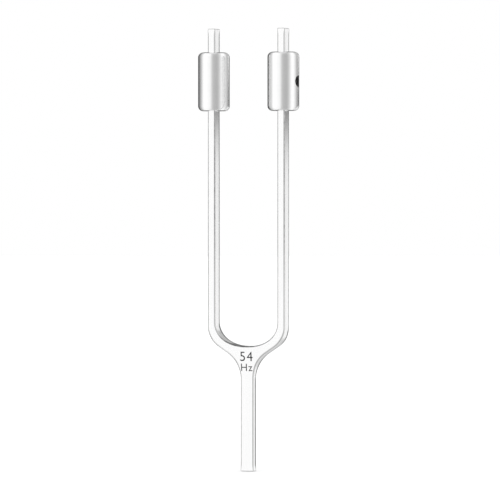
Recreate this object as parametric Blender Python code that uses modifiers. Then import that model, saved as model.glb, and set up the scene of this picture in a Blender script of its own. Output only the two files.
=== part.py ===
"""Low-pitch tuning fork with two sliding tuning weights.

Metres, +Z up. The foot of the handle stands at the origin and the tines point up
along +Z. The tines lie side by side along X, so they swing in the XZ plane, and
the bar's depth runs along Y.

Pieces:
  fork              one steel bar: handle, yoke and two tines
  left_weight       turned cylinder with a through slot, slides on the left tine
  right_weight      the same on the right tine
  left_set_screw    M8 x 6 socket set screw that clamps the left weight
  right_set_screw   the same on the right
"""

import math

import bmesh
import bpy
from mathutils import Matrix, Vector

# ---------------------------------------------------------------- dimensions
TOTAL_LENGTH = 0.325          # foot to tine tips
TINE_SPACING = 0.0546         # between the two tines' centre lines
TINE_THICKNESS = 0.0058       # in the plane of swing (X)
TINE_DEPTH = 0.0104           # across the plane of swing (Y)
HANDLE_WIDTH = 0.0101         # X
HANDLE_DEPTH = 0.0064         # Y
U_BOTTOM_Z = 0.0919           # lowest point of the gap between the tines
U_RISE = 0.0182               # height of the rounded bottom of that gap
U_FULLNESS = 2.2              # exponent of the gap's superellipse, 2 is an ellipse
SHOULDER_RADIUS = 0.0172      # convex bend on the outside of each tine's root
SHOULDER_Z = 0.1061           # where that bend starts
SHOULDER_SLOPE = math.radians(34.0)   # slope of the straight run into the neck
NECK_RADIUS = 0.0230          # concave sweep from the shoulder into the handle
DEPTH_LOW_Z = 0.0680          # the bar is HANDLE_DEPTH deep below this height
DEPTH_HIGH_Z = 0.0950         # and TINE_DEPTH deep above this one
DEPTH_LEVELS = 8
EDGE_RADIUS = 0.0010          # rounding along the long edges of the bar
EDGE_STEPS = 3
END_EDGE_RADIUS = 0.0005      # the same round the foot and the tine tips
END_BLEND = 0.0055            # distance from an end over which one becomes the other
CORNER_RADIUS = 0.0007        # the outline's corners at the foot and the tips

WEIGHT_RADIUS = 0.0116
WEIGHT_HEIGHT = 0.0432
WEIGHT_EDGE_RADIUS = 0.0037
WEIGHT_CENTRE_Z = 0.2861      # where the weights are clamped
SLIDE_CLEARANCE = 0.0003      # between a tine and the slot, on each side
SLOT_CORNER_RADIUS = 0.0005
WEIGHT_FACETS = 64

SCREW_THREAD_RADIUS = 0.0040  # M8
THREAD_CLEARANCE = 0.0003
SCREW_LENGTH = 0.0060
SCREW_TIP_GAP = 0.0003        # from the screw's point to the tine
SOCKET_FLATS = 0.0040         # hexagon key size
SOCKET_DEPTH = 0.0030
SCREW_CHAMFER = 0.0006
SCREW_FACETS = 40

# ---------------------------------------------------------------- derived
TINE_CENTRE_X = TINE_SPACING / 2
OUTER_X = TINE_CENTRE_X + TINE_THICKNESS / 2
INNER_X = TINE_CENTRE_X - TINE_THICKNESS / 2
SLOT_THICKNESS = TINE_THICKNESS + 2 * SLIDE_CLEARANCE
SLOT_DEPTH = TINE_DEPTH + 2 * SLIDE_CLEARANCE


# ---------------------------------------------------------------- scene set-up
for old in list(bpy.data.objects):
    bpy.data.objects.remove(old, do_unlink=True)

parts = bpy.data.collections.new("tuning_fork")
bpy.context.scene.collection.children.link(parts)
cutters = bpy.data.collections.new("cutters")
bpy.context.scene.collection.children.link(cutters)


def make_material(name, colour, metallic, roughness):
    material = bpy.data.materials.new(name)
    material.use_nodes = True
    shader = material.node_tree.nodes["Principled BSDF"]
    shader.inputs["Base Color"].default_value = (*colour, 1.0)
    shader.inputs["Metallic"].default_value = metallic
    shader.inputs["Roughness"].default_value = roughness
    return material


FORK_STEEL = make_material("polished_nickel_plate", (0.82, 0.82, 0.82), 1.0, 0.14)
WEIGHT_STEEL = make_material("satin_nickel_plate", (0.78, 0.78, 0.78), 1.0, 0.28)
SCREW_STEEL = make_material("black_oxide_steel", (0.03, 0.03, 0.032), 0.9, 0.42)


def add_object(name, mesh, material, collection=None):
    obj = bpy.data.objects.new(name, mesh)
    (collection or parts).objects.link(obj)
    if material:
        mesh.materials.clear()
        mesh.materials.append(material)
    return obj


def make_cutter(obj):
    obj.hide_render = True
    obj.display_type = "WIRE"
    return obj


def smooth_by_angle(mesh, degrees=30.0):
    mesh.shade_smooth()
    mesh.set_sharp_from_angle(angle=math.radians(degrees))


# ---------------------------------------------------------------- fork outline
def arc(centre, radius, start, end, steps):
    """Points on a circle in the XZ plane, from angle start to angle end, both ends included."""
    return [
        (
            centre[0] + radius * math.cos(start + (end - start) * i / steps),
            centre[1] + radius * math.sin(start + (end - start) * i / steps),
        )
        for i in range(steps + 1)
    ]


def right_half_outline():
    """The fork's outline at X >= 0, from the middle of the foot round to the bottom of the gap."""
    side, r = HANDLE_WIDTH / 2, CORNER_RADIUS
    turn = math.pi / 2 - SHOULDER_SLOPE
    shoulder_centre = (OUTER_X - SHOULDER_RADIUS, SHOULDER_Z)
    shoulder = arc(shoulder_centre, SHOULDER_RADIUS, -turn, 0.0, 12)
    neck_x = side + NECK_RADIUS
    neck_top_x = neck_x + NECK_RADIUS * math.cos(math.pi - turn)
    drop = (shoulder[0][0] - neck_top_x) * math.tan(SHOULDER_SLOPE)
    neck_z = shoulder[0][1] - drop - NECK_RADIUS * math.sin(math.pi - turn)
    neck = arc((neck_x, neck_z), NECK_RADIUS, math.pi, math.pi - turn, 12)
    power = 2 / U_FULLNESS
    gap = [
        (
            INNER_X * max(math.cos(a), 0.0) ** power,
            U_BOTTOM_Z + U_RISE - U_RISE * math.sin(a) ** power,
        )
        for a in (math.pi / 2 * i / 22 for i in range(23))
    ]
    top = TOTAL_LENGTH - r
    return (
        arc((side - r, r), r, -math.pi / 2, 0.0, 3)
        + [(side, END_BLEND)]
        + neck
        + shoulder
        + [(OUTER_X, TOTAL_LENGTH - END_BLEND)]
        + arc((OUTER_X - r, top), r, 0.0, math.pi / 2, 3)
        + arc((INNER_X + r, top), r, math.pi / 2, math.pi, 3)
        + [(INNER_X, TOTAL_LENGTH - END_BLEND)]
        + gap
    )


def fork_outline():
    right = right_half_outline()
    left = [(-x, z) for x, z in reversed(right[:-1])]
    return right + left


def inward_steps(points):
    """How each outline point moves as every edge of the outline moves in by one unit."""
    steps = []
    for i, (x, z) in enumerate(points):
        last, following = points[i - 1], points[(i + 1) % len(points)]
        before = Vector((x - last[0], z - last[1])).normalized()
        after = Vector((following[0] - x, following[1] - z)).normalized()
        normal = Vector((-before.y, before.x))
        middle = (normal + Vector((-after.y, after.x))).normalized()
        steps.append(middle / middle.dot(normal))
    return steps


def edge_radius(z):
    """The edge rounding is smaller at the foot and at the tips."""
    t = (min(z, TOTAL_LENGTH - z) - CORNER_RADIUS) / (END_BLEND - CORNER_RADIUS)
    t = min(max(t, 0.0), 1.0)
    return END_EDGE_RADIUS + (EDGE_RADIUS - END_EDGE_RADIUS) * t


# ---------------------------------------------------------------- fork depth
def depth_levels():
    """Heights and half depths of the stretch where the bar deepens from handle to tines."""
    levels = []
    for i in range(DEPTH_LEVELS + 1):
        t = i / DEPTH_LEVELS
        blend = t * t * (3 - 2 * t)
        z = DEPTH_LOW_Z + (DEPTH_HIGH_Z - DEPTH_LOW_Z) * t
        levels.append((z, (HANDLE_DEPTH + (TINE_DEPTH - HANDLE_DEPTH) * blend) / 2))
    return levels


def half_depth(z, levels):
    if z <= levels[0][0]:
        return levels[0][1]
    for (z0, d0), (z1, d1) in zip(levels, levels[1:]):
        if z <= z1:
            return d0 + (d1 - d0) * (z - z0) / (z1 - z0)
    return levels[-1][1]


def build_fork():
    """Rings of the outline, from the back face round the rounded edges to the front face."""
    points = fork_outline()
    steps = inward_steps(points)
    blank = TINE_DEPTH   # half depth before each height gets its own
    bm = bmesh.new()
    rings = []
    for side, i in [(1, EDGE_STEPS - i) for i in range(EDGE_STEPS + 1)] + [
        (-1, i) for i in range(EDGE_STEPS + 1)
    ]:
        t = math.pi / 2 * i / EDGE_STEPS
        ring = []
        for (x, z), step in zip(points, steps):
            r = edge_radius(z)
            move = step * r * (1 - math.cos(t))
            y = side * (blank - r * (1 - math.sin(t)))
            ring.append(bm.verts.new((x + move.x, y, z + move.y)))
        rings.append(ring)
    for ring, following in zip(rings, rings[1:]):
        for j, vert in enumerate(ring):
            k = (j + 1) % len(ring)
            bm.faces.new((vert, ring[k], following[k], following[j]))
    bm.faces.new(rings[0])
    bm.faces.new(rings[-1])
    levels = depth_levels()
    for z, _ in levels:
        bmesh.ops.bisect_plane(
            bm,
            geom=bm.verts[:] + bm.edges[:] + bm.faces[:],
            dist=1e-6,
            plane_co=(0.0, 0.0, z),
            plane_no=(0.0, 0.0, 1.0),
        )
    for vert in bm.verts:
        below = blank - abs(vert.co.y)
        vert.co.y = math.copysign(half_depth(vert.co.z, levels) - below, vert.co.y)
    bmesh.ops.recalc_face_normals(bm, faces=bm.faces)
    mesh = bpy.data.meshes.new("fork")
    bm.to_mesh(mesh)
    bm.free()
    fork = add_object("fork", mesh, FORK_STEEL)
    smooth_by_angle(mesh, 35.0)
    return fork


# ---------------------------------------------------------------- turned shapes
def turned(name, profile, facets, material, collection=None):
    """A profile of (radius, height) points, top to bottom, turned about Z."""
    mesh = bpy.data.meshes.new(name)
    bm = bmesh.new()
    verts = [bm.verts.new((r, 0.0, z)) for r, z in profile]
    for a, b in zip(verts, verts[1:]):
        bm.edges.new((a, b))
    bm.to_mesh(mesh)
    bm.free()
    obj = add_object(name, mesh, material, collection)
    screw = obj.modifiers.new("turn", "SCREW")
    screw.axis = "Z"
    screw.steps = facets
    screw.render_steps = facets
    screw.use_merge_vertices = True
    screw.merge_threshold = 0.00001
    screw.use_smooth_shade = True
    return obj


def weight_profile():
    """Radius and height, from the middle of the top face down the outside to the bottom face."""
    half = WEIGHT_HEIGHT / 2
    inset = WEIGHT_RADIUS - WEIGHT_EDGE_RADIUS
    steps = 6
    top = [
        (
            inset + WEIGHT_EDGE_RADIUS * math.sin(math.pi / 2 * i / steps),
            half - WEIGHT_EDGE_RADIUS * (1 - math.cos(math.pi / 2 * i / steps)),
        )
        for i in range(steps + 1)
    ]
    bottom = [(r, -z) for r, z in reversed(top)]
    return [(0.0, half)] + top + bottom + [(0.0, -half)]


def build_weight(name, side):
    """side is -1 for the left tine and +1 for the right one; the screw faces away from the other tine."""
    weight = turned(name, weight_profile(), WEIGHT_FACETS, WEIGHT_STEEL)
    weight.location = (side * TINE_CENTRE_X, 0.0, WEIGHT_CENTRE_Z)

    bpy.ops.mesh.primitive_cube_add(size=1.0)
    slot = bpy.context.active_object
    slot.name = name + "_slot_cutter"
    slot.data.transform(
        Matrix.Diagonal((SLOT_THICKNESS, SLOT_DEPTH, WEIGHT_HEIGHT * 1.4, 1.0))
    )
    bm = bmesh.new()
    bm.from_mesh(slot.data)
    upright = [
        e for e in bm.edges if abs((e.verts[0].co - e.verts[1].co).normalized().z) > 0.9
    ]
    bmesh.ops.bevel(
        bm,
        geom=upright,
        offset=SLOT_CORNER_RADIUS,
        segments=3,
        profile=0.5,
        affect="EDGES",
    )
    bm.to_mesh(slot.data)
    bm.free()

    hole_length = WEIGHT_RADIUS + 0.004
    bpy.ops.mesh.primitive_cylinder_add(
        vertices=SCREW_FACETS, radius=SCREW_THREAD_RADIUS, depth=hole_length
    )
    hole = bpy.context.active_object
    hole.name = name + "_thread_cutter"
    hole.data.transform(
        Matrix.Rotation(side * math.pi / 2, 4, "Y")
        @ Matrix.Translation((0.0, 0.0, hole_length / 2))
    )
    for cutter in (slot, hole):
        for collection in list(cutter.users_collection):
            collection.objects.unlink(cutter)
        cutters.objects.link(cutter)
        cutter.parent = weight
        make_cutter(cutter)
        cut = weight.modifiers.new(cutter.name, "BOOLEAN")
        cut.operation = "DIFFERENCE"
        cut.solver = "EXACT"
        cut.object = cutter
    return weight


def screw_profile():
    """A set screw of length SCREW_LENGTH, its socket end at the top and its point at the bottom."""
    r = SCREW_THREAD_RADIUS - THREAD_CLEARANCE
    top = SCREW_LENGTH / 2
    return [
        (0.0, top),
        (r - SCREW_CHAMFER, top),
        (r, top - SCREW_CHAMFER),
        (r, -top + 1.6 * SCREW_CHAMFER),
        (r - 1.6 * SCREW_CHAMFER, -top),
        (0.0, -top),
    ]


def build_set_screw(name, side, weight):
    screw = turned(name, screw_profile(), SCREW_FACETS, SCREW_STEEL)
    reach = TINE_THICKNESS / 2 + SCREW_TIP_GAP + SCREW_LENGTH / 2
    screw.location = (side * reach, 0.0, 0.0)
    screw.rotation_euler = (0.0, side * math.pi / 2, 0.0)
    screw.parent = weight

    mesh = bpy.data.meshes.new(name + "_socket_cutter")
    bm = bmesh.new()
    bmesh.ops.create_cone(
        bm,
        cap_ends=True,
        segments=6,
        radius1=SOCKET_FLATS / math.sqrt(3),
        radius2=SOCKET_FLATS / math.sqrt(3),
        depth=2 * SOCKET_DEPTH,
    )
    bm.to_mesh(mesh)
    bm.free()
    socket = make_cutter(add_object(mesh.name, mesh, None, cutters))
    socket.parent = screw
    socket.location = (0.0, 0.0, SCREW_LENGTH / 2)
    cut = screw.modifiers.new("hexagon_socket", "BOOLEAN")
    cut.operation = "DIFFERENCE"
    cut.solver = "EXACT"
    cut.object = socket
    return screw


# ---------------------------------------------------------------- build
build_fork()
for side, word in ((-1, "left"), (1, "right")):
    weight = build_weight(word + "_weight", side)
    build_set_screw(word + "_set_screw", side, weight)
bpy.context.view_layer.update()
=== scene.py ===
"""Looks of the low-pitch tuning fork: fine meshes, materials, studio and camera.

Metres, +Z up. The fork stands on its foot at the origin, its tines side by side along X.
"""

import math

import bmesh
import bpy
from mathutils import Matrix, Vector


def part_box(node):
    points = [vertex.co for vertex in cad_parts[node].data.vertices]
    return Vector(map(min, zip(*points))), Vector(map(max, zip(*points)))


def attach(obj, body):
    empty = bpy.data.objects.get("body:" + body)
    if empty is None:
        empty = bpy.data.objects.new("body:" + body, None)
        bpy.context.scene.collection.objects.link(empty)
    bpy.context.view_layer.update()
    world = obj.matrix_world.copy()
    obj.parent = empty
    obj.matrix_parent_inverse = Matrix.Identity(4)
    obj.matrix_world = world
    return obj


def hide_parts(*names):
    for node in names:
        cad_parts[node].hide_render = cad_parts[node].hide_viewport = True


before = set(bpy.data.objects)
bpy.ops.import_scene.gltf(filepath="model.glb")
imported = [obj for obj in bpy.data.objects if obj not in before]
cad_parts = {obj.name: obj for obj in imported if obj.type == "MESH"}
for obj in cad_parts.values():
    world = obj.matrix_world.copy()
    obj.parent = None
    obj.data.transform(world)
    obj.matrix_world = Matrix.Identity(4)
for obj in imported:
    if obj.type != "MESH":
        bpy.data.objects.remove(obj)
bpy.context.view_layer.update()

# ---------------------------------------------------------------- sizes
fork_low, fork_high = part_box("fork")
TOTAL_LENGTH = fork_high.z
OUTER_X = fork_high.x
TINE_DEPTH = fork_high.y - fork_low.y

# The fork's driving dimensions, as in its CAD source.
TINE_THICKNESS = 0.0058
HANDLE_WIDTH = 0.0101
HANDLE_DEPTH = 0.0064
U_BOTTOM_Z = 0.0919
U_RISE = 0.0182
U_FULLNESS = 2.2
SHOULDER_RADIUS = 0.0172
SHOULDER_Z = 0.1061
SHOULDER_SLOPE = math.radians(34.0)
NECK_RADIUS = 0.0230
DEPTH_LOW_Z = 0.0680
DEPTH_HIGH_Z = 0.0950
INNER_X = OUTER_X - TINE_THICKNESS
TINE_CENTRE_X = (OUTER_X + INNER_X) / 2

# The buffed edges of the bar are quarter ellipses: their reach across a face and down its
# side, for the front edges and for the back ones, which the buffing wheel has taken down more.
EDGES = {-1: (0.00100, 0.00105), 1: (0.00060, 0.0030)}
END_EDGES = {-1: (0.0005, 0.0007), 1: (0.0005, 0.0010)}
EDGE_STEPS = 8
CORNER_RADIUS = 0.0007

THREAD_RADIUS = 0.0040
THREAD_PITCH = 0.00125
SLIDE_CLEARANCE = 0.00022

scene = bpy.context.scene
scene.view_settings.view_transform = "Standard"
scene.view_settings.look = "None"
scene.view_settings.exposure = 0.0
scene.view_settings.gamma = 1.0


# ---------------------------------------------------------------- node helpers
class Nodes:
    """Short names for building a shader node tree."""

    def __init__(self, tree):
        self.tree = tree

    def add(self, kind, **settings):
        node = self.tree.nodes.new(kind)
        for key, value in settings.items():
            setattr(node, key, value)
        return node

    def link(self, source, target):
        self.tree.links.new(source, target)

    def put(self, socket, value):
        if isinstance(value, bpy.types.NodeSocket):
            self.link(value, socket)
        elif value is not None:
            socket.default_value = value

    def maths(self, operation, a, b=None, c=None, clamp=False):
        node = self.add("ShaderNodeMath", operation=operation, use_clamp=clamp)
        for socket, value in zip(node.inputs, (a, b, c)):
            self.put(socket, value)
        return node.outputs[0]

    def scaled(self, vector, by):
        node = self.add("ShaderNodeVectorMath", operation="MULTIPLY")
        self.put(node.inputs[0], vector)
        self.put(node.inputs[1], by)
        return node.outputs[0]

    def noise(self, vector, scale=1.0, detail=3.0, roughness=0.5):
        node = self.add("ShaderNodeTexNoise")
        self.put(node.inputs["Vector"], vector)
        node.inputs["Scale"].default_value = scale
        node.inputs["Detail"].default_value = detail
        node.inputs["Roughness"].default_value = roughness
        return node.outputs["Fac"]

    def remap(self, value, a, b, low, high, smooth=False):
        node = self.add(
            "ShaderNodeMapRange",
            clamp=True,
            interpolation_type="SMOOTHSTEP" if smooth else "LINEAR",
        )
        for socket, v in zip(node.inputs, (value, a, b, low, high)):
            self.put(socket, v)
        return node.outputs[0]

    def mix(self, factor, a, b):
        node = self.add("ShaderNodeMix", data_type="FLOAT")
        self.put(node.inputs[0], factor)
        self.put(node.inputs[2], a)
        self.put(node.inputs[3], b)
        return node.outputs[0]

    def mix_vector(self, factor, a, b):
        node = self.add("ShaderNodeMix", data_type="VECTOR")
        self.put(node.inputs[0], factor)
        self.put(node.inputs[4], a)
        self.put(node.inputs[5], b)
        return node.outputs[1]

    def grey(self, value, tint=(1.0, 1.0, 1.0)):
        node = self.add("ShaderNodeCombineColor")
        for socket, share in zip(node.inputs, tint):
            self.put(socket, value if share == 1.0 else self.maths("MULTIPLY", value, share))
        return node.outputs[0]

    def bump(self, height, strength, distance, after=None):
        node = self.add("ShaderNodeBump")
        node.inputs["Strength"].default_value = strength
        node.inputs["Distance"].default_value = distance
        self.put(node.inputs["Height"], height)
        if after is not None:
            self.link(after, node.inputs["Normal"])
        return node.outputs[0]


def new_material(name, metallic, specular=0.5):
    material = bpy.data.materials.new(name)
    material.use_nodes = True
    tree = material.node_tree
    shader = tree.nodes["Principled BSDF"]
    shader.inputs["Metallic"].default_value = metallic
    shader.inputs["Specular IOR Level"].default_value = specular
    return material, Nodes(tree), shader


# ---------------------------------------------------------------- materials
def polished_nickel():
    """Nickel plate on steel, belt polished along the bar, with painted shade along its rounded edges, which are also
    duller where rubbed.
    """
    material, n, shader = new_material("polished_nickel", 1.0)
    place = n.add("ShaderNodeTexCoord")
    normal = n.add("ShaderNodeSeparateXYZ")
    n.link(place.outputs["Normal"], normal.inputs[0])
    faces_front = n.remap(
        n.maths("ABSOLUTE", normal.outputs["Y"]), 0.55, 0.8, 0.0, 1.0, smooth=True
    )
    at = place.outputs["Object"]
    along_front = n.scaled(at, (7000.0, 60.0, 55.0))
    along_side = n.scaled(at, (55.0, 7000.0, 55.0))
    lines = n.mix(
        faces_front,
        n.noise(along_side, detail=2.0, roughness=0.6),
        n.noise(along_front, detail=2.0, roughness=0.6),
    )
    broad = n.mix(
        faces_front,
        n.noise(n.scaled(at, (20.0, 1400.0, 20.0)), detail=2.0),
        n.noise(n.scaled(at, (1400.0, 20.0, 20.0)), detail=2.0),
    )
    smudge = n.noise(at, scale=55.0, detail=4.0, roughness=0.6)
    specks = n.remap(n.noise(at, scale=2600.0, detail=1.0), 0.70, 0.78, 0.0, 1.0)
    # The edge attribute is painted shade along the rounded edges, broken into patches.
    edge = n.add("ShaderNodeAttribute", attribute_name="edge_shade_and_wear")
    patchy = n.remap(n.noise(at, scale=420.0, detail=3.0), 0.30, 0.70, 0.55, 1.0)
    edge_shade_and_rub = n.maths("MULTIPLY", edge.outputs["Fac"], patchy)
    value = n.remap(smudge, 0.3, 0.7, 0.945, 0.975)
    value = n.maths("SUBTRACT", value, n.remap(lines, 0.2, 0.8, 0.0, 0.035))
    value = n.maths("SUBTRACT", value, n.maths("MULTIPLY", specks, 0.05))
    # Painted shade: the rounded edges' base colour darkens nearly to black; the same amount also roughens them.
    value = n.maths("MULTIPLY", value, n.remap(edge_shade_and_rub, 0.0, 1.6, 1.0, 0.08))
    n.link(n.grey(value), shader.inputs["Base Color"])
    rough = n.remap(lines, 0.2, 0.8, 0.10, 0.20)
    rough = n.maths("ADD", rough, n.remap(smudge, 0.35, 0.75, 0.0, 0.05))
    rough = n.maths("ADD", rough, n.maths("MULTIPLY", edge_shade_and_rub, 0.08))
    n.link(rough, shader.inputs["Roughness"])
    relief = n.bump(lines, 0.10, 0.000006)
    relief = n.bump(broad, 0.10, 0.000025, after=relief)
    n.link(relief, shader.inputs["Normal"])
    return material


def satin_nickel():
    """Nickel plate on a turned steel weight, with the fine rings that turning leaves."""
    material, n, shader = new_material("satin_nickel", 1.0)
    place = n.add("ShaderNodeTexCoord")
    at = place.outputs["Object"]
    normal = n.add("ShaderNodeSeparateXYZ")
    n.link(place.outputs["Normal"], normal.inputs[0])
    split = n.add("ShaderNodeSeparateXYZ")
    n.link(at, split.inputs[0])
    flat = n.add("ShaderNodeCombineXYZ")
    n.link(split.outputs["X"], flat.inputs[0])
    n.link(split.outputs["Y"], flat.inputs[1])
    radius = n.add("ShaderNodeVectorMath", operation="LENGTH")
    n.link(flat.outputs[0], radius.inputs[0])
    ends = n.remap(n.maths("ABSOLUTE", normal.outputs["Z"]), 0.5, 0.8, 0.0, 1.0, smooth=True)
    round_end = n.add("ShaderNodeCombineXYZ")
    n.link(n.maths("MULTIPLY", radius.outputs["Value"], 5200.0), round_end.inputs[0])
    n.link(n.maths("MULTIPLY", split.outputs["X"], 40.0), round_end.inputs[1])
    n.link(n.maths("MULTIPLY", split.outputs["Y"], 40.0), round_end.inputs[2])
    rings = n.noise(
        n.mix_vector(ends, n.scaled(at, (45.0, 45.0, 5200.0)), round_end.outputs[0]),
        detail=3.0,
        roughness=0.65,
    )
    smudge = n.noise(at, scale=90.0, detail=4.0, roughness=0.6)
    grain = n.noise(at, scale=9000.0, detail=1.0)
    value = n.remap(smudge, 0.3, 0.7, 0.95, 0.98)
    value = n.maths("SUBTRACT", value, n.remap(rings, 0.25, 0.75, 0.0, 0.05))
    n.link(n.grey(value), shader.inputs["Base Color"])
    rough = n.remap(rings, 0.25, 0.75, 0.16, 0.26)
    rough = n.maths("ADD", rough, n.remap(smudge, 0.35, 0.75, 0.0, 0.05))
    n.link(rough, shader.inputs["Roughness"])
    relief = n.bump(rings, 0.16, 0.000012)
    relief = n.bump(grain, 0.05, 0.000004, after=relief)
    n.link(relief, shader.inputs["Normal"])
    return material


def black_oxide():
    """Blackened steel with a trace of oil, rubbed grey on its sharp edges."""
    material, n, shader = new_material("black_oxide", 0.75, 0.5)
    place = n.add("ShaderNodeTexCoord")
    at = place.outputs["Object"]
    mottle = n.noise(at, scale=900.0, detail=4.0, roughness=0.6)
    grain = n.noise(at, scale=14000.0, detail=2.0)
    edge = n.add("ShaderNodeAttribute", attribute_name="edge_shade_and_wear")
    rub = n.maths(
        "MULTIPLY",
        edge.outputs["Fac"],
        n.remap(n.noise(at, scale=2500.0, detail=2.0), 0.42, 0.62, 0.0, 1.0),
    )
    value = n.remap(mottle, 0.3, 0.7, 0.016, 0.034)
    value = n.maths("ADD", value, n.maths("MULTIPLY", rub, 0.20))
    n.link(n.grey(value, (1.0, 0.98, 1.0)), shader.inputs["Base Color"])
    n.link(n.remap(mottle, 0.3, 0.7, 0.36, 0.52), shader.inputs["Roughness"])
    n.link(n.bump(grain, 0.18, 0.000012), shader.inputs["Normal"])
    return material


def shaded_oily_thread():
    """Unplated, oily steel inside the screw hole, with painted shade: a near-black base colour for the hole's
    shadow.
    """
    material, n, shader = new_material("shaded_oily_thread", 0.85, 0.5)
    place = n.add("ShaderNodeTexCoord")
    at = place.outputs["Object"]
    film = n.noise(at, scale=700.0, detail=4.0, roughness=0.6)
    grain = n.noise(at, scale=12000.0, detail=2.0)
    # Painted shade: a near-black base colour for the shadowed hole, mottled by the oil film.
    n.link(n.grey(n.remap(film, 0.3, 0.7, 0.05, 0.11)), shader.inputs["Base Color"])
    n.link(n.remap(film, 0.3, 0.7, 0.30, 0.50), shader.inputs["Roughness"])
    n.link(n.bump(grain, 0.15, 0.000010), shader.inputs["Normal"])
    return material


def mark_enamel():
    """Dull black enamel in the engraved pitch mark."""
    material, n, shader = new_material("mark_enamel", 0.0, 0.35)
    place = n.add("ShaderNodeTexCoord")
    at = place.outputs["Object"]
    mottle = n.noise(at, scale=1800.0, detail=4.0, roughness=0.65)
    n.link(n.grey(n.remap(mottle, 0.3, 0.7, 0.022, 0.050)), shader.inputs["Base Color"])
    n.link(n.remap(mottle, 0.3, 0.7, 0.50, 0.72), shader.inputs["Roughness"])
    n.link(n.bump(mottle, 0.25, 0.000020), shader.inputs["Normal"])
    return material


def pale_floor():
    material, n, shader = new_material("pale_floor", 0.0, 0.1)
    place = n.add("ShaderNodeTexCoord")
    cloud = n.noise(place.outputs["Object"], scale=3.0, detail=3.0)
    n.link(n.grey(n.remap(cloud, 0.3, 0.7, 0.90, 0.93)), shader.inputs["Base Color"])
    shader.inputs["Roughness"].default_value = 0.9
    return material


NICKEL = polished_nickel()
SATIN = satin_nickel()
BLACK = black_oxide()
THREAD = shaded_oily_thread()
ENAMEL = mark_enamel()


# ---------------------------------------------------------------- mesh helpers
def smooth(mesh, degrees):
    mesh.shade_smooth()
    mesh.set_sharp_from_angle(angle=math.radians(degrees))


def new_piece(name, bm, *materials):
    mesh = bpy.data.meshes.new(name)
    bm.to_mesh(mesh)
    bm.free()
    for material in materials:
        mesh.materials.append(material)
    obj = bpy.data.objects.new(name, mesh)
    scene.collection.objects.link(obj)
    return obj


def cut_out(obj, cutter, operation="DIFFERENCE"):
    """Cuts one mesh from another and keeps the result as plain mesh."""
    modifier = obj.modifiers.new("cut", "BOOLEAN")
    modifier.operation = operation
    modifier.solver = "EXACT"
    modifier.object = cutter
    bpy.context.view_layer.update()
    graph = bpy.context.evaluated_depsgraph_get()
    result = bpy.data.meshes.new_from_object(
        obj.evaluated_get(graph), preserve_all_data_layers=True, depsgraph=graph
    )
    obj.modifiers.clear()
    old = obj.data
    obj.data = result
    bpy.data.meshes.remove(old)
    bpy.data.objects.remove(cutter, do_unlink=True)


def weighted_normals(obj):
    modifier = obj.modifiers.new("flat_faces_stay_flat", "WEIGHTED_NORMAL")
    modifier.mode = "FACE_AREA"
    modifier.weight = 80
    modifier.keep_sharp = True


def tube_of_rings(bm, rings, close_ends=True):
    """Quads between closed rings of equally many points, with a point or a face at each end."""
    made = [[bm.verts.new(p) for p in ring] for ring in rings]
    for a, b in zip(made, made[1:]):
        count = len(a)
        for i in range(count):
            j = (i + 1) % count
            bm.faces.new((a[i], a[j], b[j], b[i]))
    if close_ends:
        bm.faces.new(list(reversed(made[0])))
        bm.faces.new(made[-1])
    return made


# ---------------------------------------------------------------- fork outline
def arc(centre, radius, start, end, steps):
    return [
        (
            centre[0] + radius * math.cos(start + (end - start) * i / steps),
            centre[1] + radius * math.sin(start + (end - start) * i / steps),
        )
        for i in range(steps + 1)
    ]


def run(a, b, steps):
    """Points between a and b, both left out."""
    return [
        (a[0] + (b[0] - a[0]) * i / steps, a[1] + (b[1] - a[1]) * i / steps)
        for i in range(1, steps)
    ]


def half_outline():
    """The right half of the outline, from the foot's middle round to the bottom of the gap."""
    hw, r = HANDLE_WIDTH / 2, CORNER_RADIUS
    turn = math.pi / 2 - SHOULDER_SLOPE
    shoulder = arc(
        (OUTER_X - SHOULDER_RADIUS, SHOULDER_Z), SHOULDER_RADIUS, -turn, 0.0, 32
    )
    neck_x = hw + NECK_RADIUS
    neck_top_x = neck_x + NECK_RADIUS * math.cos(math.pi - turn)
    drop = (shoulder[0][0] - neck_top_x) * math.tan(SHOULDER_SLOPE)
    neck_z = shoulder[0][1] - drop - NECK_RADIUS * math.sin(math.pi - turn)
    neck = arc((neck_x, neck_z), NECK_RADIUS, math.pi, math.pi - turn, 36)
    power = 2 / U_FULLNESS
    gap = [
        (
            INNER_X * max(math.cos(a), 0.0) ** power,
            U_BOTTOM_Z + U_RISE - U_RISE * math.sin(a) ** power,
        )
        for a in (math.pi / 2 * (i / 64) ** 1.15 for i in range(65))
    ]
    foot = [(0.0, 0.0)] + run((0.0, 0.0), (hw - r, 0.0), 3)
    foot += arc((hw - r, r), r, -math.pi / 2, 0.0, 6)
    foot += run((hw, r), neck[0], 16)
    outside = run(shoulder[-1], (OUTER_X, TOTAL_LENGTH - 0.006), 24)
    outside += run((OUTER_X, TOTAL_LENGTH - 0.006), (OUTER_X, TOTAL_LENGTH - r), 8)
    tip = arc((OUTER_X - r, TOTAL_LENGTH - r), r, 0.0, math.pi / 2, 6)
    tip += run((OUTER_X - r, TOTAL_LENGTH), (INNER_X + r, TOTAL_LENGTH), 4)
    tip += arc((INNER_X + r, TOTAL_LENGTH - r), r, math.pi / 2, math.pi, 6)
    inside = run((INNER_X, TOTAL_LENGTH - r), (INNER_X, TOTAL_LENGTH - 0.006), 8)
    inside += [(INNER_X, TOTAL_LENGTH - 0.006)]
    inside += run((INNER_X, TOTAL_LENGTH - 0.006), gap[0], 24)
    joint = run(neck[-1], shoulder[0], 3)
    return foot + neck + joint + shoulder + outside + tip + inside + gap


def without_repeats(points):
    kept = []
    for p in points:
        if not kept or math.dist(p, kept[-1]) > 2e-6:
            kept.append(p)
    return kept


def full_outline():
    right = without_repeats(half_outline())
    return right + [(-x, z) for x, z in reversed(right[1:-1])]


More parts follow.
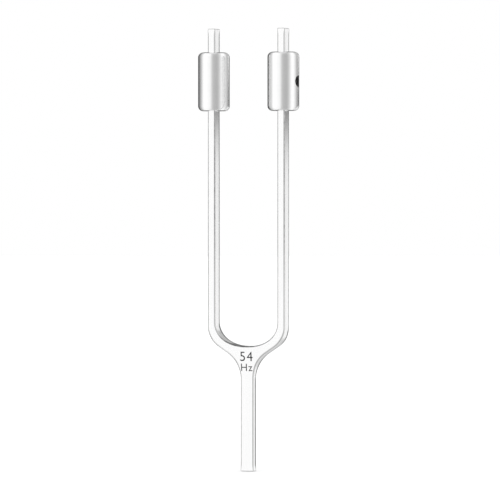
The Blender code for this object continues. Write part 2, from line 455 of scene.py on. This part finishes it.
def half_depth(z):
    t = min(max((z - DEPTH_LOW_Z) / (DEPTH_HIGH_Z - DEPTH_LOW_Z), 0.0), 1.0)
    return (HANDLE_DEPTH + (TINE_DEPTH - HANDLE_DEPTH) * t * t * (3 - 2 * t)) / 2


def fade(value, a, b):
    """0 at a, 1 at b, smooth between."""
    t = min(max((value - a) / (b - a), 0.0), 1.0)
    return t * t * (3 - 2 * t)


def edge_size(z, side, outward):
    """How far the edge rounding reaches, across the bar and along its depth, at a place."""
    near_end = min(z, TOTAL_LENGTH - z)
    t = min(max((near_end - CORNER_RADIUS) / 0.0045, 0.0), 1.0)
    t = t * t * (3 - 2 * t)
    across, deep = (
        end + (long - end) * t for end, long in zip(END_EDGES[side], EDGES[side])
    )
    if side < 0 and outward.y < 0 and z > 0.05:
        bent = fade(-outward.y, 0.05, 0.60)
        across += 0.0006 * bent
        deep += 0.0002 * bent
    if side > 0 and 0.05 < z < 0.13:
        bent = fade(abs(outward.y), 0.05, 0.60)
        across -= 0.00030 * bent
        deep -= 0.0006 * bent
    return across, deep


def painted_edge_shade_and_rub(side, t, outward, z):
    """How dark a place on a rounded edge is painted with shade, drawing dark edge lines: set apart
    for left and right, front and back edges, and heavier below the weights and where the bar bends."""
    profile = max(math.sin(2 * t), 0.0) ** 0.8
    bend = fade(z, 0.060, 0.070) * (1 - fade(z, 0.110, 0.126))
    if side > 0:
        around = 1.0 if t < 1.3 else (math.pi / 2 - t) / 0.28
        tilted = fade(abs(outward.y), 0.02, 0.30)
        return profile * 1.2 * (1 - bend * tilted) + 2.0 * around * bend * tilted
    # Painted shade on the front edges: darkest on the left, and on the right heavier below the weights.
    below_weights = fade(z, 0.130, 0.185) * (1 - fade(z, 0.285, 0.300))
    right = 0.42 + 0.62 * below_weights
    left = 1.35
    share = fade(outward.x, -0.5, 0.5)
    amount = left + (right - left) * share
    if outward.y > 0 and z < 0.125:
        amount += (1.8 - amount) * fade(outward.y, 0.45, 0.95)
    if outward.y < 0 and z > 0.03:
        amount += (0.75 - 0.45 * share - amount) * fade(-outward.y, 0.2, 0.8)
    return profile * amount


DEPTH_PLANES = [0.066 + 0.001 * i for i in range(46)]


def slice_levels(bm, levels):
    for z in levels:
        bmesh.ops.bisect_plane(
            bm,
            geom=bm.verts[:] + bm.edges[:] + bm.faces[:],
            dist=1e-7,
            plane_co=(0.0, 0.0, z),
            plane_no=(0.0, 0.0, 1.0),
        )


def build_fork_bar():
    """The one-piece bar, with soft buffed edges all round."""
    outline = full_outline()
    count = len(outline)
    thick = 0.020  # the blank's half depth, before each height gets its own
    insets = []
    for i, (x, z) in enumerate(outline):
        before = Vector((x - outline[i - 1][0], z - outline[i - 1][1])).normalized()
        after = outline[(i + 1) % count]
        after = Vector((after[0] - x, after[1] - z)).normalized()
        a, b = Vector((-before.y, before.x)), Vector((-after.y, after.x))
        inward = (a + b).normalized()
        insets.append(inward / max(inward.dot(a), 0.5))
    rings = []
    edge_shade_and_rub = []
    steps = [(1, k) for k in range(EDGE_STEPS, -1, -1)] + [(1, -1)]
    steps += [(-1, k) for k in range(EDGE_STEPS + 1)]
    for side, k in steps:
        # One more ring on the flat side, short of the back edge, ends its painted edge shade.
        t = math.pi / 2 * max(k, 0) / EDGE_STEPS
        short = 0.0011 if k < 0 else 0.0
        ring = []
        for (x, z), inward in zip(outline, insets):
            across, deep = edge_size(z, side, -inward)
            move = inward * across * (1 - math.cos(t))
            ring.append(
                (x + move.x, side * (thick - deep * (1 - math.sin(t)) - short), z + move.y)
            )
        rings.append(ring)
        # Painted shade amounts for the rounded edges, none on the flat faces.
        edge_shade_and_rub.append(
            [
                painted_edge_shade_and_rub(side, t, -inward, z) if 0 <= k < EDGE_STEPS else 0.0
                for (x, z), inward in zip(outline, insets)
            ]
        )
    bm = bmesh.new()
    edge_tone = bm.verts.layers.float.new("edge_shade_and_wear")
    made = tube_of_rings(bm, rings)
    for ring, amounts in zip(made, edge_shade_and_rub):
        for vert, amount in zip(ring, amounts):
            vert[edge_tone] = amount
    slice_levels(bm, DEPTH_PLANES)
    for vert in bm.verts:
        y = vert.co.y
        vert.co.y = math.copysign(half_depth(vert.co.z) - (thick - abs(y)), y)
    bmesh.ops.recalc_face_normals(bm, faces=bm.faces)
    return new_piece("fork_bar", bm, NICKEL)


# ---------------------------------------------------------------- pitch mark
def text_block(body, height, centre_x, centre_z, front, back, widen):
    """Flat letters as a solid that follows the bar's front face: front and back are depths below it."""
    curve = bpy.data.curves.new("letters", "FONT")
    curve.body = body
    curve.size = 1.0
    curve.resolution_u = 8
    curve.extrude = 0.5
    curve.offset = widen
    curve.align_x = "CENTER"
    curve.space_character = 1.12
    holder = bpy.data.objects.new("letters", curve)
    scene.collection.objects.link(holder)
    bpy.context.view_layer.update()
    graph = bpy.context.evaluated_depsgraph_get()
    mesh = bpy.data.meshes.new_from_object(holder.evaluated_get(graph))
    bpy.data.objects.remove(holder, do_unlink=True)
    bm = bmesh.new()
    bm.from_mesh(mesh)
    bpy.data.meshes.remove(mesh)
    bmesh.ops.remove_doubles(bm, verts=bm.verts, dist=1e-5)
    xs = [v.co.x for v in bm.verts]
    ys = [v.co.y for v in bm.verts]
    scale = height / (max(ys) - min(ys))
    mid = Vector(((max(xs) + min(xs)) / 2, (max(ys) + min(ys)) / 2))
    for vert in bm.verts:
        x, y, z = vert.co
        vert.co = (
            centre_x + (x - mid.x) * scale,
            -1.0 if z > 0 else 1.0,
            centre_z + (y - mid.y) * scale,
        )
    slice_levels(bm, [0.066 + 0.001 * i for i in range(46)])
    for vert in bm.verts:
        below = front if vert.co.y < 0 else back
        vert.co.y = -(half_depth(vert.co.z) - below)
    bmesh.ops.recalc_face_normals(bm, faces=bm.faces)
    return bm


MARK_ROWS = (("54", 0.0070, 0.0, 0.0845), ("Hz", 0.0054, 0.0, 0.0764))


def build_mark(bar):
    fills = []
    for index, (body, height, x, z) in enumerate(MARK_ROWS):
        cutter = new_piece(
            f"mark_cutter_{index}",
            text_block(body, height, x, z, -0.0010, 0.00016, widen=0.001),
        )
        cut_out(bar, cutter)
        fill = new_piece(
            f"pitch_mark_row_{index + 1}",
            text_block(body, height, x, z, 0.00003, 0.00015, widen=0.0),
            ENAMEL,
        )
        smooth(fill.data, 40)
        fills.append(fill)
    return fills


# ---------------------------------------------------------------- weights
def rounded_slot(half_x, half_y, corner_x, corner_y, steps=8):
    """A rectangle with elliptical corners, anticlockwise seen from above."""
    points = []
    for sx, sy, start in ((1, 1, 0), (-1, 1, 1), (-1, -1, 2), (1, -1, 3)):
        for i in range(steps + 1):
            a = math.pi / 2 * (start + i / steps)
            points.append(
                (
                    sx * (half_x - corner_x) + corner_x * math.cos(a),
                    sy * (half_y - corner_y) + corner_y * math.sin(a),
                )
            )
    return points


def thread_ridge(turns, crest):
    """Height of a 60 degree thread, 0 at the root and 1 at the crest, at a number of turns."""
    d = abs(turns - math.floor(turns) - 0.5) * 2
    return min(max((crest + 0.625 - d) / 0.625, 0.0), 1.0)


def grid_cutter(name, radius_at, xs, count=96):
    """A closed surface about the X axis, whose radius depends on angle and place along it."""
    rings = []
    for x in xs:
        ring = []
        for i in range(count):
            a = 2 * math.pi * i / count
            r = radius_at(a, x)
            ring.append((x, r * math.cos(a), r * math.sin(a)))
        rings.append(ring)
    bm = bmesh.new()
    tube_of_rings(bm, rings)
    bmesh.ops.recalc_face_normals(bm, faces=bm.faces)
    return new_piece(name, bm)


def build_weight(word, side):
    low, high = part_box(word + "_weight")
    screw_low, screw_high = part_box(word + "_set_screw")
    centre = (low + high) / 2
    radius = (high.y - low.y) / 2
    half = (high.z - low.z) / 2
    round_edge = 0.0037
    count = 192
    inset = radius - round_edge
    profile = [(inset * 0.5, half), (inset * 0.9, half)]
    steps = 14
    for i in range(steps + 1):
        a = math.pi / 2 * i / steps
        profile.append(
            (inset + round_edge * math.sin(a), half - round_edge * (1 - math.cos(a)))
        )
    straight = [
        (radius, z * (half - round_edge))
        for z in (0.8, 0.6, 0.4, 0.2, 0.0, -0.2, -0.4, -0.6, -0.8)
    ]
    profile = profile + straight + [(r, -z) for r, z in reversed(profile)]
    rings = [
        [
            (
                r * math.cos(2 * math.pi * i / count),
                r * math.sin(2 * math.pi * i / count),
                z,
            )
            for i in range(count)
        ]
        for r, z in profile
    ]
    bm = bmesh.new()
    tube_of_rings(bm, rings)
    bmesh.ops.recalc_face_normals(bm, faces=bm.faces)
    body = new_piece(word + "_weight_body", bm, SATIN, THREAD)

    deburr = 0.00025
    sx = TINE_THICKNESS / 2 + SLIDE_CLEARANCE
    sy = TINE_DEPTH / 2 + SLIDE_CLEARANCE
    bm = bmesh.new()
    levels = (
        (-half - 0.0008, deburr + 0.0008),
        (-half + deburr, 0.0),
        (half - deburr, 0.0),
        (half + 0.0008, deburr + 0.0008),
    )
    tube_of_rings(
        bm,
        [
            [
                (x, y, z)
                for x, y in rounded_slot(sx + f, sy + f, 0.0008 + f, 0.0008 + f)
            ]
            for z, f in levels
        ],
    )
    bmesh.ops.recalc_face_normals(bm, faces=bm.faces)
    cut_out(body, new_piece("slot_cutter", bm))

    screw_end = max(abs(screw_low.x - centre.x), abs(screw_high.x - centre.x))
    ridge = 0.00062
    start = screw_end + 0.00025
    countersink = 0.00030

    def hole_radius(a, x):
        surface = math.sqrt(radius**2 - (THREAD_RADIUS * math.cos(a)) ** 2)
        r = THREAD_RADIUS
        if x > start:
            fade = min((x - start) / 0.0003, 1.0)
            r -= ridge * fade * thread_ridge(x / THREAD_PITCH - a / (2 * math.pi), 0.25)
        mouth = THREAD_RADIUS + (x - (surface - countersink))
        return max(r, mouth)

    fine = [start + 0.00008 * i for i in range(1, 44)]
    hole = grid_cutter("hole_cutter", hole_radius, [0.0012, start] + fine, count=120)
    hole.data.transform(Matrix.Rotation(0.0 if side > 0 else math.pi, 4, "Z"))
    cut_out(body, hole)

    mesh = body.data
    for face in mesh.polygons:
        c = face.center
        off_axis = math.hypot(c.y, c.z)
        if (
            side * c.x > sx + 0.0001
            and off_axis < THREAD_RADIUS + 0.0004
            and math.hypot(c.x, c.y) < radius - 0.00002
        ):
            # The hole's faces get the thread material with its painted shade.
            face.material_index = 1
        else:
            face.material_index = 0
    smooth(mesh, 32)
    weighted_normals(body)
    body.location = centre
    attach(body, word + "_weight")
    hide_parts(word + "_weight")
    return body


# ---------------------------------------------------------------- set screws
def build_set_screw(word, side):
    """A socket set screw with a real helix, a chamfered hexagon socket and a cup point."""
    low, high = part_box(word + "_set_screw")
    centre = (low + high) / 2
    length = high.x - low.x
    major = THREAD_RADIUS - 0.00018
    depth = 0.00060
    count = 96
    rings = []
    edge_tone = []

    def ring(radius_of, x_of, amount=0.0):
        points = []
        for i in range(count):
            a = 2 * math.pi * i / count
            r = radius_of(a)
            points.append((x_of(a, r), r * math.cos(a), r * math.sin(a)))
        rings.append(points)
        edge_tone.append(amount)

    flats = 0.0040

    def hexagon(a):
        return flats / 2 / math.cos((a + math.pi / 6) % (math.pi / 3) - math.pi / 6)

    end = length / 2
    # Cup point, then the threaded side, then the socket end.
    ring(lambda a: 0.00004, lambda a, r: -end + 0.0011)
    ring(lambda a: 0.0019, lambda a, r: -end + 0.0001)
    ring(lambda a: 0.0022, lambda a, r: -end, 0.6)
    ring(lambda a: 0.0024, lambda a, r: -end, 0.6)
    rows = 84
    for k in range(rows + 1):
        x = -end + length * k / rows

        def side_radius(a, x=x):
            r = major - depth * (
                1 - thread_ridge(x / THREAD_PITCH - a / (2 * math.pi), 0.125)
            )
            point = 0.0026 + (x + end) * 1.0
            mouth = 0.00315 + (end - x) * 1.0
            return min(r, point, mouth)

        ring(side_radius, lambda a, r, x=x: x, 0.35)
    ring(lambda a: 0.00300, lambda a, r: end, 0.5)
    ring(lambda a: 0.00262, lambda a, r: end, 0.3)
    ring(lambda a: 0.00250, lambda a, r: end - 0.00002, 1.0)
    ring(hexagon, lambda a, r: end - 0.00004 - (0.00250 - r) * 0.8, 0.8)
    ring(hexagon, lambda a, r: end - 0.0012, 0.1)
    ring(hexagon, lambda a, r: end - 0.0029, 0.0)
    ring(lambda a: hexagon(a) * 0.96, lambda a, r: end - 0.0030, 0.0)
    ring(lambda a: 0.00004, lambda a, r: end - 0.0038, 0.0)
    bm = bmesh.new()
    # On the screw this attribute holds only real rubbing of the black oxide on its edges.
    rub = bm.verts.layers.float.new("edge_shade_and_wear")
    made = tube_of_rings(bm, rings)
    for row, amount in zip(made, edge_tone):
        for vert in row:
            vert[rub] = amount
    bmesh.ops.recalc_face_normals(bm, faces=bm.faces)
    screw = new_piece(word + "_set_screw_body", bm, BLACK)
    screw.data.transform(Matrix.Rotation(0.0 if side > 0 else math.pi, 4, "Z"))
    smooth(screw.data, 34)
    screw.location = centre
    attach(screw, word + "_set_screw")
    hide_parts(word + "_set_screw")
    return screw


# ---------------------------------------------------------------- make the object
bar = build_fork_bar()
marks = build_mark(bar)
smooth(bar.data, 34)
weighted_normals(bar)
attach(bar, "fork")
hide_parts("fork")
for mark in marks:
    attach(mark, "fork")

for side, word in ((-1, "left"), (1, "right")):
    build_weight(word, side)
    build_set_screw(word, side)


# ---------------------------------------------------------------- studio
CAMERA_AZIMUTH = 21.0
CAMERA_ELEVATION = 1.2
CAMERA_DISTANCE = 2.9
CAMERA_LENS = 284.3

CARD_DISTANCE = 0.45
CARD_LEFT = -0.085
CARD_RIGHT = 0.060
CARD_LOW = -0.10
CARD_HIGH = 0.40
CARD_LEVELS = (
    (-0.10, 1.02),
    (0.120, 1.02),
    (0.170, 0.97),
    (0.210, 0.95),
    (0.224, 0.94),
    (0.233, 0.88),
    (0.242, 0.76),
    (0.252, 0.63),
    (0.262, 0.46),
    (0.272, 0.20),
    (0.294, 0.20),
    (0.300, 0.60),
    (0.306, 0.98),
)

# Brightness of the studio round the fork, by angle from the camera: soft boxes to the
# left and right, the grey room behind the camera and the darker room behind the fork.
STUDIO = (
    (-180, 0.01),
    (-160, 0.01),
    (-146, 0.06),
    (-138, 0.15),
    (-130, 0.23),
    (-115, 0.43),
    (-100, 0.66),
    (-90, 0.92),
    (-80, 1.12),
    (-62, 1.15),
    (-40, 1.05),
    (-25, 1.02),
    (-15, 0.71),
    (-5, 0.545),
    (10, 0.505),
    (22, 0.480),
    (32, 0.54),
    (42, 0.68),
    (52, 0.92),
    (62, 1.12),
    (76, 1.14),
    (88, 0.96),
    (100, 0.74),
    (112, 0.52),
    (125, 0.34),
    (140, 0.20),
    (150, 0.06),
    (162, 0.01),
)


def build_world():
    world = bpy.data.worlds.new("studio")
    scene.world = world
    world.use_nodes = True
    tree = world.node_tree
    tree.nodes.clear()
    n = Nodes(tree)
    direction = n.add("ShaderNodeTexCoord").outputs["Generated"]
    a, e = math.radians(CAMERA_AZIMUTH), math.radians(CAMERA_ELEVATION)
    front = Vector((math.sin(a) * math.cos(e), -math.cos(a) * math.cos(e), math.sin(e)))
    # The walls of the light tent lean so that a round bar shows straight stripes: their
    # pattern goes by the direction half way between each place and the tent's opening.
    half = n.add("ShaderNodeVectorMath", operation="ADD")
    n.link(direction, half.inputs[0])
    half.inputs[1].default_value = front
    unit = n.add("ShaderNodeVectorMath", operation="NORMALIZE")
    n.link(half.outputs[0], unit.inputs[0])

    def along(axis):
        node = n.add("ShaderNodeVectorMath", operation="DOT_PRODUCT")
        n.link(unit.outputs[0], node.inputs[0])
        node.inputs[1].default_value = axis
        return node.outputs["Value"]

    lean = n.maths(
        "ARCTAN2", along((math.cos(a), math.sin(a), 0.0)), along((math.sin(a), -math.cos(a), 0.0))
    )
    turn = n.maths("ADD", n.maths("DIVIDE", lean, math.pi), 0.5)
    ramp = n.add("ShaderNodeValToRGB")
    n.link(turn, ramp.inputs[0])
    ramp.color_ramp.interpolation = "EASE"
    elements = ramp.color_ramp.elements
    while len(elements) > 1:
        elements.remove(elements[-1])
    for index, (angle, level) in enumerate(STUDIO + ((180, 0.01),)):
        at = (angle + 180.0) / 360.0
        element = elements[0] if index == 0 else elements.new(at)
        element.position = at
        element.color = (level / 2, level / 2, level / 2, 1.0)
    around = n.maths("MULTIPLY", ramp.outputs["Color"], 2.0)
    split = n.add("ShaderNodeSeparateXYZ")
    n.link(direction, split.inputs[0])
    up = split.outputs["Z"]
    tilt = along((0.0, 0.0, 1.0))
    steep = n.maths("ABSOLUTE", tilt)
    # The tent's roof and floor end in a dark gap.
    gap = n.remap(steep, 0.79, 0.87, 0.0, 1.0, smooth=True)
    around = n.mix(gap, around, 0.20)
    # A grey strip in the tent's seam, above and below the side card.
    strip = n.remap(turn, 0.815, 0.835, 0.0, 1.0, smooth=True)
    strip = n.maths("MULTIPLY", strip, n.remap(turn, 0.925, 0.940, 1.0, 0.0, smooth=True))
    strip = n.maths("MULTIPLY", strip, n.remap(steep, 0.90, 0.985, 1.0, 0.0, smooth=True))
    walls = n.maths(
        "ADD", n.remap(tilt, 0.10, 0.30, 0.0, 0.52), n.remap(tilt, -0.30, -0.10, 0.66, 0.0)
    )
    around = n.maths("MAXIMUM", around, n.maths("MULTIPLY", walls, strip))
    overhead = n.remap(up, 0.93, 0.99, 0.0, 1.0, smooth=True)
    below = n.remap(up, -0.99, -0.93, 1.0, 0.0, smooth=True)
    level = n.mix(overhead, around, 0.75)
    level = n.mix(below, level, 0.60)
    path = n.add("ShaderNodeLightPath")
    # A reflector by the right weight keeps what the left weight shows of it light.
    again = n.remap(path.outputs["Glossy Depth"], 1.2, 1.8, 0.0, 1.0)
    again = n.maths("MULTIPLY", again, n.remap(turn, 0.14, 0.21, 1.0, 0.0))
    level = n.mix(again, level, 1.15)
    # The table gets its light from soft boxes overhead that the polished metal doesn't show.
    level = n.mix(path.outputs["Is Diffuse Ray"], level, 1.30)
    room = n.add("ShaderNodeBackground")
    n.link(n.grey(level), room.inputs["Color"])
    seen = n.add("ShaderNodeBackground")
    seen.inputs["Color"].default_value = (1.0, 1.0, 1.0, 1.0)
    both = n.add("ShaderNodeMixShader")
    n.link(path.outputs["Is Camera Ray"], both.inputs[0])
    n.link(room.outputs[0], both.inputs[1])
    n.link(seen.outputs[0], both.inputs[2])
    out = n.add("ShaderNodeOutputWorld")
    n.link(both.outputs[0], out.inputs["Surface"])


def build_floor():
    """A pale studio table that the fork's foot stands on."""
    bm = bmesh.new()
    bmesh.ops.create_circle(bm, cap_ends=True, segments=128, radius=7.0)
    floor = new_piece("studio_floor", bm, pale_floor())
    floor.location = (0.0, 0.0, -0.0002)
    floor.visible_glossy = False


def card_light():
    """A matt light whose level changes with height, as CARD_LEVELS says."""
    material = bpy.data.materials.new("card_light")
    material.use_nodes = True
    tree = material.node_tree
    tree.nodes.clear()
    n = Nodes(tree)
    place = n.add("ShaderNodeTexCoord")
    span = CARD_HIGH - CARD_LOW
    ramp = n.add("ShaderNodeValToRGB")
    level_at = n.add("ShaderNodeVectorMath", operation="DOT_PRODUCT")
    n.link(place.outputs["Object"], level_at.inputs[0])
    a = math.radians(CAMERA_AZIMUTH + 138.0)
    level_at.inputs[1].default_value = (-0.15 * math.cos(a), -0.15 * math.sin(a), 1.0)
    n.link(
        n.remap(level_at.outputs["Value"], CARD_LOW, CARD_HIGH, 0.0, 1.0), ramp.inputs[0]
    )
    elements = ramp.color_ramp.elements
    while len(elements) > 1:
        elements.remove(elements[-1])
    for index, (z, level) in enumerate(CARD_LEVELS):
        at = (z - CARD_LOW) / span
        element = elements[0] if index == 0 else elements.new(at)
        element.position = at
        element.color = (level, level, level, 1.0)
    glow = n.add("ShaderNodeEmission")
    n.link(ramp.outputs["Color"], glow.inputs["Color"])
    glow.inputs["Strength"].default_value = 1.0
    out = n.add("ShaderNodeOutputMaterial")
    n.link(glow.outputs[0], out.inputs["Surface"])
    return material


def build_side_card():
    """A white card behind the fork to the right, which lights the tines' right sides below and above the weights."""
    a = math.radians(CAMERA_AZIMUTH + 138.0)
    away = Vector((math.sin(a), -math.cos(a), 0.0))
    along = Vector((-away.y, away.x, 0.0))
    middle = away * CARD_DISTANCE
    bm = bmesh.new()
    corners = (
        middle + along * CARD_LEFT + Vector((0, 0, CARD_LOW)),
        middle + along * CARD_RIGHT + Vector((0, 0, CARD_LOW)),
        middle + along * CARD_RIGHT + Vector((0, 0, CARD_HIGH)),
        middle + along * CARD_LEFT + Vector((0, 0, CARD_HIGH)),
    )
    bm.faces.new([bm.verts.new(c) for c in corners])
    card = new_piece("side_card", bm, card_light())
    card.visible_camera = False
    card.visible_diffuse = False
    card.visible_shadow = False


def build_camera():
    data = bpy.data.cameras.new("camera")
    data.sensor_width = 36.0
    data.lens = CAMERA_LENS
    data.clip_start = 0.05
    data.clip_end = 60.0
    camera = bpy.data.objects.new("camera", data)
    scene.collection.objects.link(camera)
    a, e = math.radians(CAMERA_AZIMUTH), math.radians(CAMERA_ELEVATION)
    back = Vector((math.sin(a) * math.cos(e), -math.cos(a) * math.cos(e), math.sin(e)))
    across = Vector((math.cos(a), math.sin(a), 0.0))
    target = across * 0.0011 + Vector((0.0, 0.0, TOTAL_LENGTH / 2))
    camera.location = target + back * CAMERA_DISTANCE
    camera.rotation_mode = "QUATERNION"
    camera.rotation_quaternion = (-back).to_track_quat("-Z", "Y")
    scene.camera = camera


build_world()
build_floor()
build_side_card()
build_camera()
